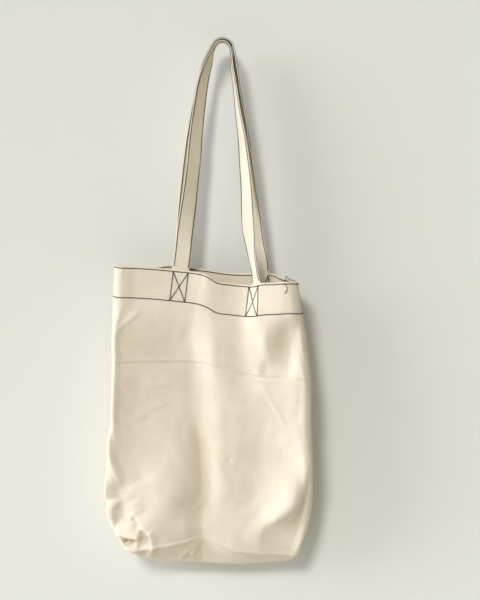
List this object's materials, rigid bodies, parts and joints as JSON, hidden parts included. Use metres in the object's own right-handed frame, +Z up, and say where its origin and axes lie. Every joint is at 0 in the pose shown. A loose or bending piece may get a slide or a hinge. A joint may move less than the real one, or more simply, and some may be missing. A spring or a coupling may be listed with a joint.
{
  "type": "tote bag",
  "caption": "Canvas tote bag with a boxed base, a deep turned hem and two long handles, hanging open from a round bar.",
  "frame": {"origin": "on the axis of the round bar that the handles hang from, in the middle of the handles' width", "axes": "+X to the bag's right as seen from the front, +Y towards the back of the bag, along the bar, +Z up"},
  "size_m": [0.3137, 0.0813, 0.7874],
  "materials": {
    "canvas": "unbleached plain-weave cotton canvas, creased from packing",
    "canvas_seam": "raw canvas seam allowance",
    "handle_webbing": "folded and edge-stitched cotton canvas",
    "contrast_thread": "charcoal sewing thread",
    "seam_thread": "undyed sewing thread"
  },
  "bodies": {
    "bag": {"front_panel": "canvas", "back_panel": "canvas", "left_side_seam": "canvas_seam", "right_side_seam": "canvas_seam", "base_seam": "canvas_seam", "left_corner_seam": "canvas_seam", "right_corner_seam": "canvas_seam", "front_handle_ends": "handle_webbing", "back_handle_ends": "handle_webbing", "front_rim_stitch": "contrast_thread", "back_rim_stitch": "contrast_thread", "front_hem_stitch": "contrast_thread", "back_hem_stitch": "contrast_thread", "front_left_cross_stitch": "contrast_thread", "front_right_cross_stitch": "contrast_thread", "back_left_cross_stitch": "contrast_thread", "back_right_cross_stitch": "contrast_thread", "hem_thread_tail": "contrast_thread", "corner_thread_tail": "seam_thread"},
    "front_handle": {"front_handle": "handle_webbing", "front_handle_stitch": "contrast_thread"},
    "back_handle": {"back_handle": "handle_webbing", "back_handle_stitch": "contrast_thread"}
  },
  "joints": [
    {"name": "front_handle_fold", "type": "hinge", "parent": "bag", "child": "front_handle", "pos_m": [-0.005, -0.0146, -0.3426], "axis": [0.9798, 0, -0.1999], "range_deg": [0, 165]},
    {"name": "back_handle_fold", "type": "hinge", "parent": "bag", "child": "back_handle", "pos_m": [-0.005, 0.0146, -0.3306], "axis": [-0.9955, 0, 0.0945], "range_deg": [0, 165]}
  ]
}
